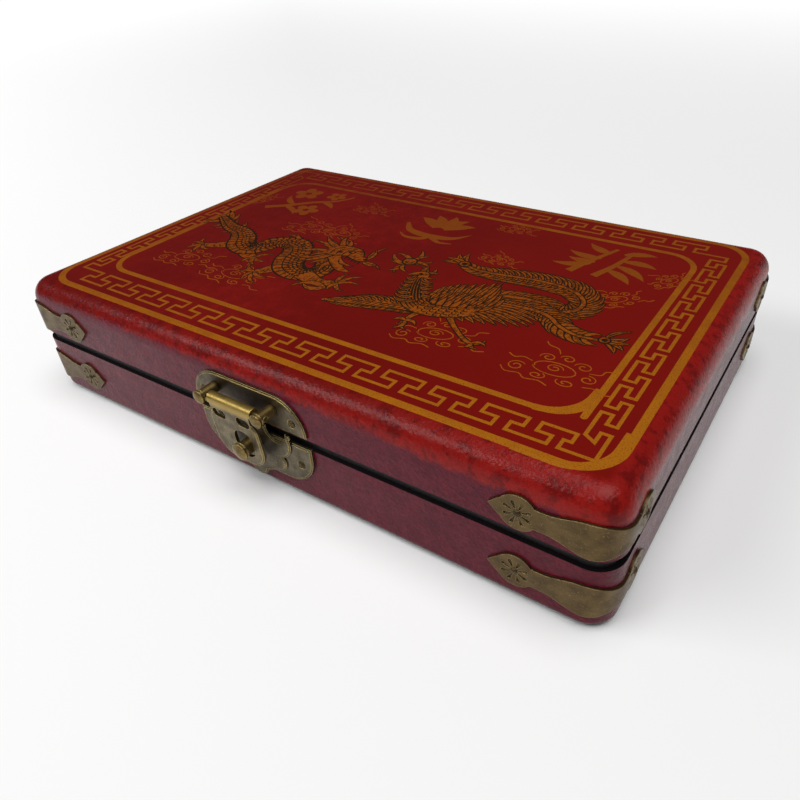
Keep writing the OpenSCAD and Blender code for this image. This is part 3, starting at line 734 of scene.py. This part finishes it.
def print_border():
    """Two gold lines with rounded corners, and a meander between them."""
    sheet = Print()
    x, y = OUTER_LINE["x"], OUTER_LINE["y"]
    sheet.ribbon("gold", spread_out(rounded_loop(-x, x, -y, y, OUTER_LINE["radius"])), OUTER_LINE["width"])
    sheet.lift()
    left, right, y = INNER_LINE["left"], INNER_LINE["right"], INNER_LINE["y"]
    loop = rounded_loop(left, right, -y, y, INNER_LINE["radius"])
    sheet.ribbon("gold", spread_out(loop), INNER_LINE["width"])
    sheet.lift()

    width = INNER_TAIL["width"]
    sheet.ribbon("gold", [(right, INNER_TAIL["from"]), (right, INNER_TAIL["to"])], width)
    sheet.lift()
    sheet.disc("gold", (right, INNER_TAIL["to"]), width / 2)
    sheet.lift()
    for patch, (before, after) in ((OUTER_PATCH, OUTER_PATCH_ENDS), (INNER_PATCH, INNER_PATCH_ENDS)):
        corner = quarter_turn(patch["right"], patch["start"], patch["radius"])
        sheet.ribbon("gold", before + corner + after, patch["width"])
        sheet.lift()

    run = FRONT_START + meander(**FRONT) + CORNER
    run += [(x, y) for y, x in meander(**SIDE)] + SIDE_END
    for way, shift in ((1, 0.0), (-1, BACK_SHIFT)):
        sheet.mitred("gold", [(way * x + shift, way * y) for x, y in run], MEANDER_WIDTH)
    sheet.build("print_border", {"gold": GOLD})


# ---------------------------------------------------------------- dragon

DRAGON_BODY = [
    (-104, 3), (-97, -1), (-90, -4.5), (-83, -6), (-77, -10), (-72, -16), (-66, -18.5), (-61.5, -15),
    (-59.5, -9), (-54.5, -5.5), (-48.5, -6), (-44, -11), (-41.5, -18), (-37, -24), (-30, -26.5),
    (-24.5, -24), (-23.5, -18), (-27, -12), (-30, -6),
]
DRAGON_WIDTH = tapered(
    3, 5, 6.5, 8, 10.5, 12, 11, 9.5, 10, 10.5, 11.5, 12, 12.5, 12, 10.5, 9.5, 8.5, 7.5, 7
)


def scaled_body(sheet, points, width, pitch=1.75):
    """A coiling body: dark rim, gold back, rows of scales, barred belly and a crest of spines."""
    run = curve(points, 10)
    outlined(sheet, run, width, 0.75)
    steps = len(run) - 1
    travelled = 0.0
    for i in range(2, steps - 1):
        travelled += (run[i] - run[i - 1]).length
        if travelled < pitch:
            continue
        travelled = 0.0
        along = (run[i + 1] - run[i - 1]).normalized()
        side = Vector((-along.y, along.x))
        half = width(i / steps) / 2
        for row, share in enumerate((-0.12, 0.16, 0.44, 0.72)):
            centre = run[i] + side * half * share + along * pitch / 2 * (row % 2)
            arc = [
                centre + (along * math.cos(a) + side * math.sin(a)) * half * 0.17
                for a in (math.radians(-85 + 34 * k) for k in range(6))
            ]
            sheet.ribbon("ink", arc, 0.62)
        sheet.lift()
        sheet.ribbon("ink", [run[i] - side * half * 0.42, run[i] - side * half + along * 0.5], 0.6)
        root = run[i] + side * half * 0.95
        sheet.ribbon("ink", [root - along * 1.1, root + side * 1.7 - along * 2.3], tapered(1.6, 0.2))
        sheet.lift()
    sheet.ribbon("ink", beside(run, width, -0.38), 0.55)
    sheet.lift()


def limb(sheet, points, widths, claws):
    """A leg that ends in a fan of hooked claws."""
    run = curve(points, 6)
    outlined(sheet, run, tapered(*widths), 0.55)
    for t in (0.25, 0.45, 0.65, 0.85):
        i = int(t * (len(run) - 1))
        along = (run[i + 1] - run[i]).normalized()
        side = Vector((-along.y, along.x))
        half = tapered(*widths)(t) / 2
        sheet.ribbon("ink", [run[i] + side * half * 0.7, run[i] - side * half * 0.3 + along * 0.6], 0.4)
    foot = Vector(points[-1])
    for tip in claws:
        bend = 0.18 if tip[1] > foot.y else -0.18
        outlined(sheet, bowed(foot, tip, bend, 6), pointed(1.8, 0.25), 0.35)


def tuft(sheet, root, tips, width=1.3, bend=0.12):
    """Flowing hair: pointed strokes from one root."""
    for i, tip in enumerate(tips):
        outlined(sheet, bowed(root, tip, bend * (1 if i % 2 else -1), 6), pointed(width, 0.3), 0.42)


def print_dragon():
    """A long dragon with an arched back, reaching for the pearl."""
    sheet = Print()
    tail = [(-109, 11), (-105, 9), (-111, 4), (-110, -3), (-106, -7), (-99, -8), (-99, 9)]
    tuft(sheet, (-97, 0), tail, 2.4)
    tuft(sheet, (-86, -5), [(-97, -9), (-94, 4), (-88, 3), (-90, -11)], 2.2)
    limb(sheet, [(-74, -16), (-80, -22), (-86, -25)], (8, 5, 3),
         [(-91, -19), (-93, -25), (-90, -31), (-84, -32), (-80, -27)])
    limb(sheet, [(-66, -18), (-61, -23), (-56, -24)], (8, 6, 3.4),
         [(-51, -18), (-48.5, -24), (-51, -29), (-58, -30)])
    limb(sheet, [(-40, -24), (-43, -30), (-46, -34)], (8, 5.5, 3.4),
         [(-53, -29), (-52, -36), (-46, -41), (-39, -41), (-38, -35)])
    scaled_body(sheet, DRAGON_BODY, DRAGON_WIDTH)
    tuft(sheet, (-52, 0), [(-60, 1), (-56, 3)], 2.0)
    limb(sheet, [(-27, -26), (-18, -28.5), (-10, -26)], (8, 5.5, 3.4),
         [(-11, -17), (-4, -17), (-2, -23), (-4, -30), (-10, -32)])
    tuft(sheet, (-12, -31), [(-25, -36), (-22, -32)], 2.8, 0.25)
    # Mane, horns and beard
    tuft(sheet, (-29, -4), [(-46, 2), (-47, -4), (-45, -10), (-42, -15), (-42, 6), (-38, -17), (-39, 0),
                            (-38, -6), (-37, -11)], 2.4)
    tuft(sheet, (-28, 1), [(-39, 10), (-35, 12), (-31, 9), (-43, 8)], 2.4)
    tuft(sheet, (-24, -9), [(-32, -17), (-28, -20), (-24, -21), (-20, -20)], 2.2)
    # Head, with its mouth open to the right
    outlined(sheet, curve([(-33, -4), (-28, -1), (-22, -0.5), (-17, -4), (-13.5, -3.5)]),
             tapered(7, 9.5, 8, 4.4, 3), 0.6)
    jaw = curve([(-27, -7), (-23, -11), (-18, -15), (-13, -16)])
    outlined(sheet, jaw, tapered(5.5, 4.6, 3.4, 1.4), 0.5)
    tuft(sheet, (-23, -8), [(-14, -10.5)], 1.8, 0.2)
    for centre, radius in (((-13.4, -3.6), 1.2), ((-22.8, -0.4), 1.7), ((-27.5, -2.5), 1.1)):
        sheet.disc("ink", centre, radius, 0.75, 20)
        sheet.lift()
    for tooth in range(5):
        x = -22 + 1.9 * tooth
        sheet.ribbon("ink", [(x, -4.4 - 0.5 * tooth), (x + 0.4, -7.6 - 0.4 * tooth)], tapered(1.2, 0.2))
    sheet.lift()
    for brow in range(4):
        sheet.ribbon("ink", bowed((-31 + 3 * brow, -5), (-28.5 + 3 * brow, 2.5), 0.2, 4), 0.55)
        sheet.lift()
    sheet.disc("gold", (-22.6, -0.3), 0.7)
    # Whiskers
    tuft(sheet, (-13, -3), [(-12.5, 10), (-15, 6)], 1.5, -0.12)
    tuft(sheet, (-13, -6), [(-3, -8.5), (-6, -6)], 1.4, -0.15)
    sheet.build("print_dragon", {"gold": FINE_GOLD, "ink": INK})


def print_pearl():
    """A pearl in flames between the two creatures."""
    sheet = Print()
    tuft(sheet, (4, 3), [(2, 15), (8, 11), (12, 8), (13, 3), (-6, 8), (-4, 1)], 2.2, 0.16)
    tuft(sheet, (3, 0), [(4, -8), (0, -7), (8, -5)], 1.6, 0.2)
    outlined(sheet, bowed((-6, 6), (8, 4), -0.28, 8), pointed(2.4, 0.5), 0.3)
    sheet.disc("ink", (3.4, 3.6), 3.4)
    sheet.lift()
    sheet.disc("gold", (3.4, 3.6), 2.6)
    sheet.lift()
    sheet.ribbon("ink", bowed((1.6, 3), (5, 4.6), -0.5, 6), 0.6)
    sheet.build("print_pearl", {"gold": FINE_GOLD, "ink": INK})


# ---------------------------------------------------------------- phoenix


def fringed_tail(sheet, points, widths, pitch=2.1):
    """A long tail plume: a curving shaft with barbs that sweep back on both sides."""
    run = curve(points, 8)
    width = tapered(*widths)
    steps = len(run) - 1
    travelled = 0.0
    for i in range(2, steps - 1):
        travelled += (run[i] - run[i - 1]).length
        if travelled < pitch:
            continue
        travelled = 0.0
        along = (run[i + 1] - run[i - 1]).normalized()
        side = Vector((-along.y, along.x))
        reach = width(i / steps)
        for hand in (1, -1):
            root = run[i] - along * 1.4
            tip = run[i] + side * hand * reach * 0.6 + along * reach * 0.75
            plume(sheet, root, tip, 0.18 * hand, 1.2 + reach * 0.12, reach > 7)
    outlined(sheet, run, lambda t: 1.2 + 0.8 * (1 - t), 0.45)


def eye_tip(sheet, centre, angle, size):
    """The eye at the end of a tail plume."""
    for turn in (-42, 42, -18, 18):
        tip = turned([(size * 1.6, 0)], angle + turn, (0, 0), centre)[0]
        plume(sheet, centre, tip, 0.1 if turn < 0 else -0.1, size * 0.5)
    for paint, share in (("ink", 0.46), ("gold", 0.34), ("ink", 0.2)):
        sheet.disc(paint, centre, size * share)
        sheet.lift()


def print_phoenix():
    """A flying phoenix with spread wings and long tail plumes."""
    sheet = Print()
    # Tail plumes, the far one first
    fringed_tail(
        sheet,
        [(44, -7), (54, -3.5), (64, -3), (72, -6), (77, -2), (77.5, 4), (73, 9.5), (66, 12), (57, 12.5),
         (48, 11.5), (39, 10), (31, 9.5), (26, 11)],
        (6, 7, 8, 8, 9, 10, 10.5, 10.5, 10, 9, 7, 5, 4),
    )
    eye_tip(sheet, (24, 12), 150, 6.0)
    fringed_tail(
        sheet,
        [(44, -12), (54, -10), (64, -9), (71, -10.5), (77, -15), (84, -17.5), (91, -17)],
        (7, 8, 8, 8, 7, 6.5, 5),
    )
    eye_tip(sheet, (93, -16), -6, 5.0)
    plume(sheet, (93, -14), (99, -7), 0.12, 1.6)
    # Feathers that trail to the right, under the raised wing
    fan(sheet, [(44, -17), (43, -20), (41, -24)], [(69, -13), (68, -20), (58, -24.5), (47, -28)], 10, 2.8,
        (0.14, 0.06))
    # Raised wing: long pinions, then two rows of shorter feathers over their roots
    fan(sheet, [(47, -17), (42, -19), (36, -21), (30, -22)],
        [(52, -7), (47, -1), (44.5, 4.5), (38, 0), (32, -3.5), (28, -8)], 12, 3.4, (-0.1, 0.1))
    fan(sheet, [(46, -19), (38, -22), (30, -23)],
        [(51, -13), (44, -8), (37, -9), (29, -13)], 9, 2.8, (-0.1, 0.1))
    fan(sheet, [(44, -21), (37, -23), (29, -24)], [(48, -16), (41, -14), (34, -15), (27, -17)], 8, 2.2,
        (-0.1, 0.1), False)
    # Wing stretched to the left
    wing = curve([(29, -27.5), (19, -28.5), (10, -30), (3, -33.5), (-2, -36.5), (-6, -38)])
    wing_width = tapered(6, 7, 7.5, 5.5, 3.5, 1.0)
    fan(sheet, beside(wing, wing_width, 0.5), [(20, -33), (10, -37), (1, -39.5), (-7, -38.5)], 17, 1.7,
        (0.1, 0.1), False)
    outlined(sheet, wing, wing_width, 0.5)
    fan(sheet, [(28, -27), (14, -29), (1, -35)],
        [(18, -24.5), (8, -27), (-5, -37.5)], 13, 2.0, (-0.1, -0.1))
    fan(sheet, [(30, -27), (16, -30), (4, -34)],
        [(22, -31), (10, -34.5), (-2, -37.5)], 12, 1.8, (0.1, 0.1), False)
    # Legs: one trailing, one tucked
    outlined(sheet, curve([(41, -27), (46, -32), (53, -37.5), (57, -39)]), tapered(2.4, 1.6, 1.5, 1.5), 0.4)
    tuft(sheet, (56.5, -38.5), [(60, -35), (61.5, -38), (60, -41), (55.5, -41.5)], 1.5, 0.25)
    outlined(sheet, curve([(32, -28), (29.5, -32), (29, -37)]), tapered(3, 2, 1.6), 0.4)
    tuft(sheet, (29, -36.5), [(33, -42), (28, -43), (25, -38), (34, -38)], 1.6, 0.25)
    # Body, breast and neck
    body = curve([(47, -20), (40, -24.5), (31, -26.5), (24, -24), (19, -17), (15.5, -9), (15, -5)])
    body_width = tapered(5, 7, 8, 9, 9, 7, 4.5)
    outlined(sheet, body, body_width, 0.5)
    for row in range(4):
        for i in range(8):
            x, y = 43 - 2.6 * i, -21.5 - 4 * math.sin(math.pi * i / 7) + 1.9 * (row - 1.6)
            sheet.ribbon("ink", bowed((x, y + 0.7), (x + 1.9, y - 0.4), -0.5, 4), 0.5)
            sheet.lift()
    neck = body[-22:]
    for offset in (-0.8, -0.5, -0.2, 0.1, 0.4, 0.7):
        line = beside(neck, lambda t: 9 - 4 * t, offset)
        sheet.ribbon("ink", line, tapered(0.3, 0.9, 0.7, 0.3))
        sheet.lift()
    fan(sheet, [(24, -23), (17, -16), (14, -8)], [(15, -24), (12.5, -17), (10.5, -9)], 7, 2.0, (0.2, 0.2))
    fan(sheet, [(24, -19), (19, -12), (16, -6)], [(27, -17), (24, -11), (22, -8)], 6, 2.0, (-0.2, -0.2))
    # Head, beak and crest
    tuft(sheet, (15, -3.5), [(10, 2), (13.5, 3), (17, 2.5), (20, -1), (21, -5)], 2.0, 0.2)
    outlined(sheet, curve([(16, -6), (15, -3.5), (12.5, -4), (9.5, -6.5)]), tapered(4, 4, 2.6, 0.5), 0.5)
    sheet.disc("ink", (13.8, -3.8), 0.8)
    sheet.build("print_phoenix", {"gold": FINE_GOLD, "ink": INK})


# ---------------------------------------------------------------- clouds and sprigs

CLOUD_LINE = 0.44


def curl(centre, radius, start, turns, squash=0.55, fade=0.25):
    """A spiral that winds in to a centre, flattened as a drifting cloud's curls are."""
    steps = max(int(abs(turns) * 16), 6)
    run = []
    for i in range(steps + 1):
        t = i / steps
        angle = math.radians(start) + 2 * math.pi * turns * t
        reach = radius * (1 - (1 - fade) * t)
        run.append(Vector(centre) + Vector((math.cos(angle) * reach, math.sin(angle) * reach * squash)))
    return run


CLOUD = (
    curl((0, 0), 8.5, 200, 1.0, 0.5, 0.9),
    curl((0, 0.3), 3.4, 0, 1.4, 0.75),
    curl((-13, -4.5), 3.6, 40, 1.4, 0.9),
    curl((-5, 6), 3.2, 200, -1.3, 0.8),
    curl((2, 8), 3.0, 180, -1.2, 0.8),
    curl((9, 5.5), 3.6, 180, -1.3, 0.8),
    curl((13, -1), 3.4, 100, -1.3, 0.8),
    curl((7, -6.5), 3.8, 150, 1.3, 0.6),
    curl((-4, -6.5), 3.4, 60, -1.3, 0.6),
    curve([(-18, -7), (-15, -9.5), (-10, -8.5), (-7, -10.5), (-2, -9.5), (2, -11)], 3),
    curve([(-2, 10), (-4, 13), (-8, 14), (-10, 16)], 3),
    curve([(13, -6), (17, -5), (20, -7), (24, -6)], 3),
    curve([(12, 3), (16, 4), (17, 7), (21, 8)], 3),
    curve([(-9, 1), (-13, 2), (-16, 0.5), (-19, 2)], 3),
)
CLOUD_PLACES = (
    (86, -39, 0, 0.85), (43, -39, 8, 0.8), (-52, -39, -4, 0.8), (-82, -37, 8, 0.75),
    (-57, 13, 10, 0.7), (-40, 14, -12, 0.6), (86, 12, 40, 0.55), (26, 53, 0, 0.45),
    (98, 35, 50, 0.45), (-45, 43, 0, 0.5), (-103, 30, 60, 0.4), (34, 22, -8, 0.45),
)


def print_clouds():
    """Drifting clouds in a thin gold line."""
    sheet = Print()
    for x, y, angle, scale in CLOUD_PLACES:
        for stroke in CLOUD:
            run = turned(stroke, angle, (0, 0), (x, y), scale)
            sheet.ribbon("gold", run, tapered(CLOUD_LINE * 0.7, CLOUD_LINE, CLOUD_LINE))
            sheet.lift()
        sheet.level = 0
    sheet.build("print_clouds", {"gold": CLOUD_GOLD})


def blossom(sheet, centre, size, turn=0.0):
    """A five-petalled flower."""
    for i in range(5):
        place = turned([(size * 0.62, 0)], turn + 72 * i, (0, 0), centre)[0]
        sheet.disc("gold", place, size * 0.42, 0.86, turn + 72 * i)
        sheet.lift()


LOTUS = (-4.5, 36)


def print_sprigs():
    """Three bold ornaments across the back of the lid: a plum spray, a lotus and a bamboo spray."""
    sheet = Print()
    leaf = pointed(4.2, 0.4)
    branch = curve([(-95, 22), (-86, 29), (-78, 37), (-68, 44), (-63, 52)])
    sheet.ribbon("gold", branch, tapered(3.4, 2.6, 1.2))
    sheet.lift()
    for start, end in (((-88, 28), (-76, 21)), ((-84, 31), (-94, 40)), ((-74, 40), (-64, 35))):
        sheet.ribbon("gold", bowed(start, end, 0.12), pointed(3.2, 0.45))
        sheet.lift()
    blossom(sheet, (-74, 28), 6.4, 10)
    blossom(sheet, (-88, 46), 7.2, 40)
    blossom(sheet, (-72, 49), 5.0, 70)

    for angle in (90, 62, 118, 36, 144):
        root, tip = turned([(3, 0), (17, 0)], angle, (0, 0), LOTUS)
        sheet.ribbon("gold", bowed(root, tip, 0.1 if angle < 90 else -0.1), pointed(5.4, 0.5))
        sheet.lift()
    sheet.ribbon("gold", curve([(-21, 38), (-15, 31), (-4.5, 29), (6, 31), (12, 38)]), pointed(4.2, 0.5))
    sheet.lift()
    sheet.ribbon("gold", curve([(-4, 29), (-6, 25), (-13, 24), (-18, 27)]), tapered(3, 2.4, 0.6))
    sheet.lift()
    sheet.ribbon("gold", curve([(-2, 28), (3, 25), (9, 26)]), tapered(3, 0.6))
    sheet.lift()

    for lean in (0, 10):
        cane = curve([(62 + lean, 26), (66 + lean, 38), (72 + lean * 0.7, 53)])
        sheet.ribbon("gold", cane, tapered(3.2, 2.4, 1.6))
        sheet.lift()
    for root, tip in (
        ((67, 36), (53, 31)), ((69, 42), (55, 44)), ((71, 48), (60, 54)), ((68, 38), (57, 38)),
        ((77, 38), (90, 30)), ((78, 43), (91, 42)), ((76, 49), (88, 53)), ((75, 33), (86, 25)),
    ):
        sheet.ribbon("gold", bowed(root, tip, 0.1), leaf)
        sheet.lift()
    sheet.build("print_sprigs", {"gold": DIM_GOLD})


print_border()
print_clouds()
print_sprigs()
print_dragon()
print_pearl()
print_phoenix()


# ---------------------------------------------------------------- floor, light and camera


FLOOR_HALF = 40.0
FLOOR_TONES = (shade(0.94, 0.94, 0.94), shade(0.96, 0.96, 0.96))
PALER_PLACES, PALER = (0.15, 1.6), 0.32


def floor():
    """A plain pale floor, large enough to fill the view."""
    mesh = bpy.data.meshes.new("floor")
    half = FLOOR_HALF
    mesh.from_pydata(
        [(-half, -half, 0), (half, -half, 0), (half, half, 0), (-half, half, 0)], [], [(0, 1, 2, 3)]
    )
    paint = Paint("floor_paper")
    tone = paint.mix(paint.noise(0.5, 2), *FLOOR_TONES)
    # Away from the case the camera, and nothing else, sees the floor paler, so that it ends in white.
    away = paint.math("MAXIMUM", paint.math("ABSOLUTE", paint.x), paint.math("ABSOLUTE", paint.y))
    seen = paint.tree.nodes.new("ShaderNodeLightPath").outputs["Is Camera Ray"]
    mesh.materials.append(paint.finish(
        Base_Color=tone, Roughness=0.9, Specular_IOR_Level=0.1,
        Emission_Color=shade(1.0, 1.0, 1.0),
        Emission_Strength=paint.times(seen, paint.step(away, *PALER_PLACES, 0.0, PALER)),
    ))
    piece = bpy.data.objects.new("floor", mesh)
    bpy.context.scene.collection.objects.link(piece)


def lamp(name, place, aim, width, height, power):
    """A broad soft light that points from place to aim."""
    data = bpy.data.lights.new(name, "AREA")
    data.shape = "RECTANGLE"
    data.size = width
    data.size_y = height
    data.energy = power
    piece = bpy.data.objects.new(name, data)
    piece.location = place
    piece.rotation_mode = "QUATERNION"
    piece.rotation_quaternion = (Vector(aim) - Vector(place)).to_track_quat("-Z", "Y")
    bpy.context.scene.collection.objects.link(piece)


def high_light(strength, spread, source):
    """One broad soft light from high up, with the same strength all over the floor."""
    data = bpy.data.lights.new("high_light", "SUN")
    data.energy = strength
    data.angle = math.radians(spread)
    piece = bpy.data.objects.new("high_light", data)
    piece.rotation_mode = "QUATERNION"
    piece.rotation_quaternion = Vector(source).to_track_quat("Z", "Y")
    bpy.context.scene.collection.objects.link(piece)


def world(level):
    """An even surround that the camera sees as white."""
    made = bpy.data.worlds.new("surround")
    bpy.context.scene.world = made
    made.use_nodes = True
    tree = made.node_tree
    back = tree.nodes["Background"]
    seen = tree.nodes.new("ShaderNodeLightPath").outputs["Is Camera Ray"]
    strength = tree.nodes.new("ShaderNodeMapRange")
    tree.links.new(seen, strength.inputs["Value"])
    strength.inputs["To Min"].default_value = level
    strength.inputs["To Max"].default_value = 1.0
    back.inputs["Color"].default_value = (1, 1, 1, 1)
    tree.links.new(strength.outputs[0], back.inputs["Strength"])


# The camera, as fitted to the photograph
CAMERA_PLACE = (0.15129, -0.19877, 0.16355)
CAMERA_RIGHT = Vector((0.84066, 0.54035, -0.03626))
CAMERA_UP = Vector((-0.29648, 0.51521, 0.80415))
CAMERA_BACK = Vector((0.45320, -0.66527, 0.59332))
CAMERA_LENS = 30.14
CAMERA_SHIFT = (-0.0462, 0.0036)


def camera():
    data = bpy.data.cameras.new("camera")
    data.sensor_width = 36.0
    data.lens = CAMERA_LENS
    data.shift_x, data.shift_y = CAMERA_SHIFT
    data.clip_start = 0.01
    data.clip_end = 50.0
    piece = bpy.data.objects.new("camera", data)
    bpy.context.scene.collection.objects.link(piece)
    turn = Matrix((CAMERA_RIGHT, CAMERA_UP, CAMERA_BACK)).transposed().to_4x4()
    piece.matrix_world = Matrix.Translation(CAMERA_PLACE) @ turn
    bpy.context.scene.camera = piece


floor()
world(level=0.05)
high_light(strength=2.2, spread=50, source=(0.16, -0.08, 0.98))
lamp("front_lamp", place=(-0.60, -0.70, 0.82), aim=(0, 0, 0), width=0.80, height=0.30, power=5.5)
camera()
bpy.context.scene.view_settings.view_transform = "Standard"
